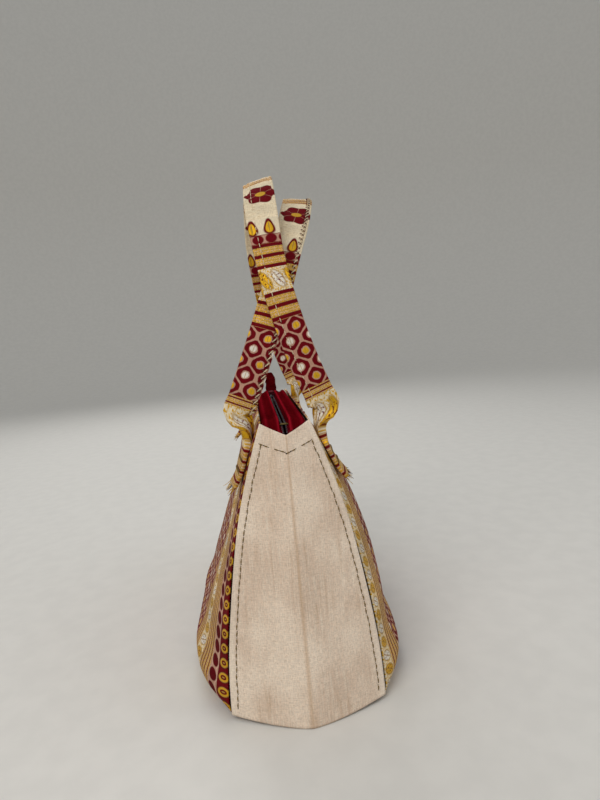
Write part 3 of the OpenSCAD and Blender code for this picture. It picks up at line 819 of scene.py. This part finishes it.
def make_gusset_stitching(side, word):
    """Topstitches up both edges and a V-shaped row under the top edge, with dark plugs at the needle's
    holes as painted shade.
    """
    pitch, inset = 4.5, 4.6
    stitches, holes = [], []
    for edge in (-1, 1):
        for k in range(37):
            z = 7 + k * pitch
            u = edge * (1 - (inset + rng.uniform(-0.25, 0.25)) / end_y(z))
            p, across, up, n = gusset_at(side, u, z / BODY_H)
            up = up + across * rng.uniform(-0.08, 0.08)
            stitches.append(stitch_curve(p, up, n, 2.7, 0.36))
            holes += [p + up * 1.7, p - up * 1.7]
    for k in (-5, -4, -2, -1, 0, 1, 3, 4):
        u = 0.16 * k
        p, across, up, n = gusset_at(side, u + 0.02, 1 - 11.5 / BODY_H)
        stitches.append(stitch_curve(p, across, n, 2.4, 0.3))
        holes += [p + across * 1.6, p - across * 1.4]
    thread = tubes(f"{word}_gusset_topstitch", stitches, 0.36, M_OLIVE)
    # Each needle hole is a short dark plug through the silk's face: painted shade inside the hole.
    dents = []
    for p in holes:
        n = gusset_normal(side, p)
        dents.append(np.array([p - n * 0.35, p - n * 0.1, p + n * 0.12]))
    marks = tubes(f"{word}_gusset_needle_holes", dents, 0.5, M_HOLE_SHADE, sides=7)
    fixed(thread, "thread", f"{word}_gusset_stitching")
    fixed(marks, "thread")


def gusset_normal(side, p):
    """Outward direction of the flat on which a point lies."""
    z = p[2]
    u = np.clip(p[1] / end_y(z), -0.97, 0.97)
    return gusset_at(side, u, np.clip(z / BODY_H, 0.02, 0.97))[3]


def make_base():
    corner = BOTTOM_L / 2 - PANEL_INSET
    tip = BOTTOM_L / 2 + CREASE_BOTTOM - 2.4

    def half_depth(x):
        ax = np.abs(x)
        held = np.minimum(ax, corner)
        inner = side_y(held, 0.0) - mix(ROUND_IN, END_ROUND_IN, (held / corner) ** 4)
        at_corner = side_y(corner - 0.05, 0.0) - END_ROUND_IN
        return np.where(ax < corner, inner, mix(at_corner, 1.0, (ax - corner) / (tip - corner)))

    def layer(name, reach, inset, depth, thickness, material, node, slot):
        u, v = np.meshgrid(np.linspace(-1, 1, 91), np.linspace(-1, 1, 31))
        x = u * reach
        y = v * (half_depth(x) - inset)
        grid = np.stack([x, y, lift(x, y, 0.0) + depth], 2)
        piece = shell(name, grid, np.stack([x, y], 2), thickness, material, flip=True)
        fixed(piece, slot, node)

    layer("base_brocade", tip, 0.3, 0.0, BROCADE_T, W_COMB, "base_panel", "brocade")
    layer("base_satin_lining", corner - 8, 5, 3.9, LINING_T, M_SATIN, "base_lining", "satin")


def make_linings():
    layers = (
        ("board", BROCADE_T + 0.3, 1.3, M_BOARD, 0.583),
        ("lining", BROCADE_T + 1.9, LINING_T, M_SATIN, 0.917),
    )
    for side, face in ((-1, "front"), (1, "back")):
        for word, depth, thick, material, low in layers:
            grid, _ = panel_grid(side, np.linspace(-0.9, 0.9, 91), 48, vs=(0.083, low), wavy=False)
            grid = grid - grid_normals(grid, side < 0) * depth
            uv = np.stack([grid[:, :, 0], grid[:, :, 2]], 2)
            piece = shell(f"{face}_side_{word}", grid, uv, thick, material, flip=side < 0)
            fixed(piece, "board" if word == "board" else "satin", f"{face}_{word}")
    depth = SILK_T + 0.2 + 0.8 + 0.2
    for side, word in ((1, "right"), (-1, "left")):
        grid, _ = gusset_grid(side, 40, 48, inset=4.4, us=(-0.96, 0.96), vs=(0.06, 0.94), soft=False)
        grid = grid - grid_normals(grid, side < 0) * depth
        name = f"{word}_gusset_satin_lining"
        piece = shell(name, grid, grid[:, :, 1:3].copy(), LINING_T, M_SATIN, flip=side < 0)
        fixed(piece, "satin", f"{word}_gusset_lining")


# ---- Zipped top ----

# A satin strip cut across, from the zip outwards: (distance from the middle, height).
SATIN_SECTION = np.array(
    [
        (6.6, 178.6), (5.3, 178.7), (4.55, 179.4), (4.2, 180.3), (3.3, 180.9), (3.0, 181.7),
        (3.7, 182.5), (5.0, 182.6), (6.4, 181.6), (7.8, 180.6), (9.2, 180.2), (10.8, 180.9),
        (12.2, 181.3), (13.4, 180.8), (14.2, 179.6), (14.5, 178.2),
    ]
)


def spline(points, count):
    """A smooth line through points."""
    points = np.asarray(points, float)
    padded = np.vstack([2 * points[0] - points[1], points, 2 * points[-1] - points[-2]])
    t = np.linspace(0, len(points) - 1, count)
    i = np.minimum(t.astype(int), len(points) - 2)
    f = (t - i)[:, None]
    a, b, c, d = padded[i], padded[i + 1], padded[i + 2], padded[i + 3]
    return 0.5 * (2 * b + (c - a) * f + (2 * a - 5 * b + 4 * c - d) * f**2 + (3 * b - a - 3 * c + d) * f**3)


def end_reach(y):
    """How far along X the satin goes before it meets the inside of a gusset's top edge."""
    return MOUTH_L / 2 + CREASE_TOP * (1 - (np.abs(y) / 16) ** 1.3) - SILK_T - 0.3


def vee(y):
    """Height of the gusset's top edge across the mouth, a little under it."""
    return BODY_H - DIP * (1 - np.abs(y) / 16) - 1.2


def satin_half(side, end):
    """Half of one satin strip, from the middle of the zip to where it sinks into the gusset's notch."""
    section = spline(SATIN_SECTION, 42)
    y = section[:, 0]
    x = np.linspace(0, 1, 91)[:, None] * end_reach(y)
    pucker = 0.28 * np.sin(x * 0.55 + 2 * side) + 0.2 * np.sin(x * 0.23 + 1.1 * end)
    puff = hump(y, 5.8, 1.6) * pucker + hump(y, 11, 2.2) * (pucker * 0.8 + 0.9)
    z = section[:, 1] + puff - smooth((x - 100) / 13) * (FLAP_TOP + 0.4 - vee(y))
    grid = np.stack(np.broadcast_arrays(end * x, side * y, z), 2)
    return grid, np.stack(np.broadcast_arrays(grid[:, :, 0], arc_lengths(section)[None, :]), 2)


ZIP_STOP = MOUTH_L / 2 + CREASE_TOP - SILK_T - 0.6
TOOTH_PITCH = 1.6
TOOTH_Y = np.array([2.5, 1.9, 1.2, 0.9, 0.78])
TOOTH_RISE = np.array([-0.5, 0.1, 0.25, 0.2, -0.2])
RIB_Y = 4.9


def past_run(x):
    """0 along the slider's run, 1 where the zip ends."""
    return smooth((np.abs(x) - 99.5) / 15)


def coil_drop(x):
    """How far the zip sinks towards the notch, past the slider's run."""
    return 3.4 * past_run(x)


def zip_quarter(side, face, end, word):
    """Satin, tape, coil and the tape's rib on one side, from the middle of the zip to one end."""
    flip = side * end > 0
    grid, uv = satin_half(side, end)
    y = np.abs(grid[:, :, 1])
    # Where the satin gets a painted highlight: the crest beside the zip, and more faintly the outer ridge.
    painted_highlight = 0.75 * hump(y, 3.9, 0.7) * (grid[:, :, 2] > 172) + 0.3 * hump(y, 11.6, 1.2)
    cloth = shell(f"{face}_satin_strip_{word}", grid, uv, 0.9, M_SATIN, flip, {"painted_highlight": painted_highlight})
    edge = np.linspace(1.2, COIL_OUTER + TAPE_W - 1, 9)
    x, y = np.meshgrid(np.linspace(0, ZIP_STOP, 80), edge, indexing="ij")
    z = TAPE_TOP - coil_drop(x) * (1 - y / 14) - past_run(x) * 0.2
    grid = np.stack([end * x, side * y, z], 2)
    tape = shell(f"{face}_tape_{word}", grid, np.stack([y, x], 2), 0.5, M_TAPE, flip)
    teeth = []
    for k in range(int(ZIP_STOP / TOOTH_PITCH)):
        x = (k + (0.25 if side > 0 else 0.75)) * TOOTH_PITCH
        z = COIL_Z + 0.1 - coil_drop(x) + TOOTH_RISE
        teeth.append(np.stack([np.full(5, end * x), side * TOOTH_Y, z], 1))
    chain = tubes(f"{face}_coil_{word}", teeth, 0.42, M_COIL)
    x = np.linspace(0, ZIP_STOP, 60)
    seam = np.stack([end * x, np.full(60, side * RIB_Y), TAPE_TOP + 0.1 - coil_drop(x)], 1)
    rib = tubes(f"{face}_tape_rib_{word}", [seam], 0.25, M_TAPE)
    for piece, slot in ((cloth, "satin"), (tape, "zip_tape"), (chain, "zip_coil"), (rib, "zip_tape")):
        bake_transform(piece)
    nodes = (("flap", "zip_end"), ("zip_tape", "tape_end"), ("zip_coil", "coil_end"))
    for piece, (of_side, of_end) in zip((cloth, tape, chain), nodes):
        if end > 0:
            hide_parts(f"{face}_{of_side}")
        if side > 0:
            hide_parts(f"{word}_{of_end}")


def make_zip():
    for side, face in ((-1, "front"), (1, "back")):
        for end, word in ((1, "right"), (-1, "left")):
            zip_quarter(side, face, end, word)
    make_bar_tacks()
    make_end_tab()


def make_bar_tacks():
    wraps = []
    for side in (-1, 1):
        for k in range(5):
            x = side * (101.6 + 0.42 * k)
            t = np.linspace(-1, 1, 9)
            z = COIL_Z + 1.1 - coil_drop(x) + 0.35 * (1 - t**4)
            wraps.append(np.stack([np.full(9, x), t * 2.9, z], 1))
    tacks = tubes("zip_bar_tack_thread", wraps, 0.26, M_OLIVE)
    fixed(tacks, "thread", "zip_bar_tacks")


def ring_profile(count, square=0.4, groove=0.0, groove_at=0.76):
    """A flat rounded section. groove pinches it along two lines near its edges."""
    a = np.linspace(0, 2 * math.pi, count, endpoint=False)
    px = np.sign(np.cos(a)) * np.abs(np.cos(a)) ** (square * 1.6)
    py = np.sign(np.sin(a)) * np.abs(np.sin(a)) ** square
    pinch = 1 - groove * np.exp(-(((np.abs(px) - groove_at) / 0.07) ** 2))
    return np.stack([px, py * pinch], 1)


def make_end_tab():
    """The folded satin tab that stands on the left end of the zip, a little crushed."""
    x0 = -MOUTH_L / 2 + 3.4 + 1.8
    s = np.linspace(0, 1, 40)
    path = np.stack([x0 + 1.2 * np.sin(s * 3.0), 0.8 * np.sin(s * 4.0), mix(178.0, 200.0, s)], 1)
    across = np.stack([0.15 * np.sin(s * 5), np.ones(40), np.zeros(40)], 1)
    width = 10.4 * np.clip(1 - ((s - 0.45) / 0.62) ** 6, 0.05, 1) * (1 - 0.06 * np.sin(s * 16))
    thick = 3.7 * np.clip(1 - ((s - 0.4) / 0.66) ** 8, 0.12, 1)
    profile = ring_profile(36, 0.5, 0.25, 0.7)
    pleat = 0.35 * np.sin(s[:, None] * 13 + 2.2 * profile[None, :, 0])
    points, faces, uv = sweep(path, across, width, thick, profile, pleat=pleat)
    tab = new_mesh("zip_end_satin_tab", points, faces, M_SATIN, uv)
    fixed(tab, "satin", "zip_end_tab")


# ---- Handles ----

HANDLES = {
    "front": {"side": -1, "rise": 152.0, "lean": 0.445, "curl": 0.0004, "square": 1.8, "tip": -5},
    "back": {"side": 1, "rise": 166.0, "lean": 0.42, "curl": 0.0015, "square": 2.2, "tip": 17},
}
HANDLE_BANDS = {"front": shifted(STRAP_BANDS, 4.5), "back": STRAP_BANDS}
TAB_STAND = 0.6
FOOT = 46.0
# Heights, in metres, between which a strap stops following the body.
TAB_LEAVES = BODY_H - 20
SECTION = ring_profile(48, 0.34, 0.3)


def tab_y(side, z):
    on_panel = side_y(HALF_SPAN, np.minimum(z, BODY_H)) + STRAP_T / 2 + TAB_STAND
    share = HALF_SPAN / (end_x(z) - PANEL_INSET)
    on_panel = on_panel + fullness(side, z) * (1 - np.minimum(share, 1) ** 4)
    free = np.clip((z - TAB_LEAVES) / (TAB_HIGH - TAB_LEAVES), 0, 1) ** 1.6
    return mix(on_panel, FOLD_Y, free)


def strap_path(kind, end):
    """Middle of one leg, from its tab's lower end to the hoop's top, with the direction across it."""
    h = HANDLES[kind]
    side = h["side"]
    z = np.linspace(TAB_LOW, TAB_HIGH, 30)
    y = tab_y(side, z) + 2.6 * np.clip((TAB_LOW + 12 - z) / 12, 0, 1) ** 2
    turn = smooth((z - 166) / 23) * math.pi / 2
    on_side = np.minimum(z, BODY_H)
    slope = np.arctan((side_y(HALF_SPAN + 1, on_side) - side_y(HALF_SPAN - 1, on_side)) / 2)
    angle = slope * (1 - turn / (math.pi / 2)) + turn
    tab = np.stack([np.full(30, HALF_SPAN), y, z], 1)
    tab_across = np.stack([np.cos(angle), np.sin(angle), np.zeros(30)], 1)
    a = np.linspace(0, math.pi / 2, 400)
    bend = 2 / h["square"]
    up = h["rise"] * np.sin(a) ** bend
    x = HALF_SPAN * np.maximum(np.cos(a), 0) ** bend
    hoop = np.stack([x, FOLD_Y - h["lean"] * up + h["curl"] * up * up, FOLD_Z + up], 1)
    length = arc_lengths(hoop)
    even = band_steps(HANDLE_BANDS[kind], 0.0, length[-1], 2.4)
    hoop = np.stack([np.interp(even, length, hoop[:, k]) for k in range(3)], 1)
    tip = np.radians(h["tip"]) * side * smooth((hoop[:, 2] - FOLD_Z) / h["rise"] * 2 - 1)
    hoop_across = np.stack([0 * tip, np.cos(tip), np.sin(tip)], 1)
    lengths = np.concatenate([arc_lengths(tab) - arc_lengths(tab)[-1] - (FOLD_Z - TAB_HIGH), even])
    across = np.vstack([tab_across, hoop_across]) * [end * side, 1, side]
    return np.vstack([tab, hoop]) * [end, side, 1], across, lengths


def strap_sizes(z):
    """Width and thickness of a strap by height: full on the tab, gathered under the fold, full above it."""
    low = smooth((170 - z) / 11)
    high = smooth((z - 173) / 17)
    share = np.maximum(low, high)
    width = mix(7.5, STRAP_W, share) + 1.6 * np.exp(-(((z - 191) / 4) ** 2))
    thick = mix(6.2, STRAP_T, share)
    return width * (1 + 0.13 * smooth((z - 285) / 40)), thick


def whole_strap(kind):
    """Both legs of a handle as one line, with its widths and thicknesses."""
    legs = zip(strap_path(kind, 1), strap_path(kind, -1))
    path, across, lengths = (np.concatenate([near, far[-2::-1]]) for near, far in legs)
    return path, across, lengths, *strap_sizes(path[:, 2])


def strap_point(kind, index, share, out):
    """A point on the strap at a share of its half width, out from its outer face."""
    path, _, _, width, thick = STRAPS[kind]
    _, side, face = STRAP_FRAMES[kind]
    return path[index] + side[index] * share * width[index] / 2 + face[index] * (thick[index] / 2 + out)


STRAPS = {kind: whole_strap(kind) for kind in HANDLES}
STRAP_FRAMES = {kind: frames(s[0], s[1]) for kind, s in STRAPS.items()}


def make_handle(kind):
    path, across, lengths, width, thick = STRAPS[kind]
    gather = np.exp(-(((path[:, 2] - 179) / 8) ** 2))[:, None]
    px, py = SECTION[None, :, 0], SECTION[None, :, 1]
    pleat = gather * 0.8 * np.cos(px * 8.5 + 0.1 * path[:, 2:3]) * np.sign(py)
    far = lengths[:, None]
    ripple = 0.12 * np.sin(far * 0.42 + px * 2) + 0.18 * np.sin(far * 0.11 + 2 * px)
    points, faces, uv = sweep(path, across, width, thick, SECTION, lengths, pleat + ripple)
    strap = new_mesh(f"{kind}_strap", points, faces, W_PLAIN, uv)
    weave_bands(strap, HANDLE_BANDS[kind])
    join_to_body(strap)
    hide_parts(f"{kind}_handle", f"{kind}_handle_core", f"right_{kind}_tab", f"left_{kind}_tab")


def join_to_body(piece):
    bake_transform(piece)


def run_of_stitches(kind, share, pitch, length, height, slant=0.0):
    """Stitches along a strap at a share of its half width, from one gathered foot to the other."""
    path = STRAPS[kind][0]
    distance = arc_lengths(path)
    curves = []
    for s in np.arange(FOOT, distance[-1] - FOOT, pitch):
        marks = np.linspace(s, s + length, 7)
        points = []
        for m, rise in zip(marks, height * (1 - np.abs(np.linspace(-1, 1, 7)) ** 4 * 2.0)):
            index = np.interp(m, distance, np.arange(len(path)))
            low = int(index)
            high = min(low + 1, len(path) - 1)
            lean = slant * (m - s - length / 2) / length
            a = strap_point(kind, low, share + lean, rise)
            b = strap_point(kind, high, share + lean, rise)
            points.append(mix(a, b, index - low))
        curves.append(np.array(points))
    return curves


def make_handle_stitching():
    rows = (
        ("back", "topstitch", 0.27, M_CREAM, (-0.5, 4.4, 3.2, 0.25)),
        ("front", "edge_loops", 0.42, M_CREAM, (0.8, 4.2, 3.4, 0.35, 0.22)),
        ("front", "edge_dark_loops", 0.36, M_DARK, (0.74, 4.2, 2.0, 0.3, -0.3)),
    )
    for kind, word, radius, material, run in rows:
        thread = tubes(f"{kind}_strap_{word}", run_of_stitches(kind, *run), radius, material)
        join_to_body(thread)


def make_tab_details():
    """Stitches that hold the tabs, and loose threads at their cut ends."""
    held, fray_cream, fray_dark = [], [], []
    for kind, h in HANDLES.items():
        for end in (1, -1):
            path, across, _ = strap_path(kind, end)
            thick = strap_sizes(path[:, 2])[1]
            along, side, face = frames(path, across)
            if face[4][1] * h["side"] < 0:
                face = -face
            for row in (6, 11):
                for k in range(-3, 4):
                    p = path[row] + side[row] * (k * 2.6) + face[row] * (thick[row] / 2 * 0.94)
                    held.append(stitch_curve(p, along[row], face[row], 2.6, 0.3))
            for k in range(26):
                share = rng.uniform(-0.95, 0.95)
                depth = rng.uniform(-0.8, 0.8) * STRAP_T / 2
                start = path[0] + side[0] * share * STRAP_W / 2 + face[0] * depth + along[0] * 1.2
                reach = rng.uniform(2.5, 8.5)
                t = np.linspace(0, 1, 7)[:, None]
                drift = side[0] * rng.uniform(-1.8, 1.8) + face[0] * rng.uniform(-0.2, 2.4)
                curve = start - along[0] * reach * t + drift * t**2
                x, z = np.abs(curve[:, 0]), curve[:, 2]
                cloth = side_y(x, z) + 2.2 + fullness(h["side"], z) * 0.45
                curve[:, 1] = h["side"] * np.maximum(curve[:, 1] * h["side"], cloth)
                (fray_cream if k % 3 else fray_dark).append(curve)
    threads = tubes("tab_stitches", held, 0.28, M_OLIVE)
    pale = tubes("tab_frayed_cream_threads", fray_cream, 0.17, M_GOLD_THREAD, sides=5)
    dark = tubes("tab_frayed_dark_threads", fray_dark, 0.17, M_DARK, sides=5)
    fixed(threads, "thread", "tab_stitching")
    fixed(pale, "thread")
    fixed(dark, "thread")


# ---- CAD nodes that stay ----


def finish_cad_nodes():
    looks = {
        "base_board": M_BOARD,
        "right_gusset_stiffener": M_STIFF, "left_gusset_stiffener": M_STIFF,
        "zip_slider": M_METAL, "zip_pull": M_METAL,
    }
    for node, material in looks.items():
        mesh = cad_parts[node].data
        mesh.materials.clear()
        mesh.materials.append(material)
    for node in ("zip_slider", "zip_pull"):
        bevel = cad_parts[node].modifiers.new("rounded", "BEVEL")
        bevel.width = 0.18 * MM
        bevel.segments = 2
        bevel.limit_method = "ANGLE"


make_panel(-1, "front_brocade_panel", FRONT_BANDS, "front_panel")
make_panel(1, "back_brocade_panel", BACK_BANDS, "back_panel")
make_gusset(1, "right")
make_gusset(-1, "left")
make_gusset_stitching(1, "right")
make_gusset_stitching(-1, "left")
make_base()
make_linings()
make_zip()
for name in HANDLES:
    make_handle(name)
make_handle_stitching()
make_tab_details()
finish_cad_nodes()

# ---- Studio ----


def pale_floor():
    """A floor that turns up into a wall all round, far from the bag, so that no edge shows."""
    flat, bend, sides = 2.4, 1.4, 96
    turn = np.linspace(0, math.pi / 2, 13)
    radius = np.concatenate([[0.3, 0.8, 1.6], flat + bend * np.sin(turn), [flat + bend]])
    height = np.concatenate([[0, 0, 0], bend * (1 - np.cos(turn)), [3.4]])
    a = np.linspace(0, 2 * math.pi, sides, endpoint=False)
    points = [(0, 0, 0)]
    points += [(r * math.cos(t), r * math.sin(t), h) for r, h in zip(radius, height) for t in a]
    faces = [(0, 1 + k, 1 + (k + 1) % sides) for k in range(sides)]
    faces += [[1 + k for k in face[::-1]] for face in ring_faces(len(radius), sides)[:-2]]
    mesh = bpy.data.meshes.new("floor")
    mesh.from_pydata(points, [], faces)
    mesh.polygons.foreach_set("use_smooth", [True] * len(mesh.polygons))
    c = Cloth("pale_floor", "Object")
    fine = c.noise(0.05, 0.05, 3.0, 2.0, 0.05)
    c.colour = linear(222, 219, 213)
    c.shade(fine.smooth(0.3, 0.7, 0.98, 1.02))
    mesh.materials.append(c.finish(0.6, specular=0.2))
    floor = bpy.data.objects.new("floor", mesh)
    bpy.context.scene.collection.objects.link(floor)


def area_light(name, place, target, size, power, colour=(1, 1, 1)):
    light = bpy.data.lights.new(name, "AREA")
    light.energy = power
    light.size = size
    light.color = colour
    lamp = bpy.data.objects.new(name, light)
    lamp.location = place
    lamp.rotation_euler = (Vector(target) - Vector(place)).to_track_quat("-Z", "Y").to_euler()
    bpy.context.scene.collection.objects.link(lamp)


def studio():
    world = bpy.data.worlds.new("soft_room")
    world.use_nodes = True
    background = world.node_tree.nodes["Background"]
    background.inputs["Color"].default_value = linear(206, 210, 214)
    background.inputs["Strength"].default_value = 0.8
    bpy.context.scene.world = world
    bpy.context.scene.view_settings.view_transform = "Standard"
    area_light("key", (1.1, -0.7, 1.3), (0, 0, 0.15), 1.0, 11.5, (1.0, 0.97, 0.93))
    area_light("fill", (0.6, 1.5, 0.9), (0, 0, 0.15), 1.4, 4, (0.95, 0.97, 1.0))
    area_light("back", (-1.3, -0.3, 1.2), (0, 0, 0.2), 1.0, 7)


def camera():
    """Where the bag was seen from: facing its right end, a little above it."""
    yaw, pitch, roll = math.radians(175.2), math.radians(6.5), math.radians(-4.6)
    ahead = Vector((math.cos(yaw) * math.cos(pitch), math.sin(yaw) * math.cos(pitch), -math.sin(pitch)))
    right = ahead.cross(Vector((0, 0, 1))).normalized()
    up = right.cross(ahead)
    rolled_right = right * math.cos(roll) + up * math.sin(roll)
    rolled_up = up * math.cos(roll) - right * math.sin(roll)
    lens = bpy.data.cameras.new("camera")
    lens.lens = 24.975
    lens.sensor_width = 36
    lens.clip_start, lens.clip_end = 0.01, 50
    eye = bpy.data.objects.new("camera", lens)
    turn = Matrix((rolled_right, rolled_up, -ahead)).transposed().to_4x4()
    eye.matrix_world = Matrix.Translation((0.4588, -0.0181, 0.234)) @ turn
    bpy.context.scene.collection.objects.link(eye)
    bpy.context.scene.camera = eye


pale_floor()
studio()
camera()
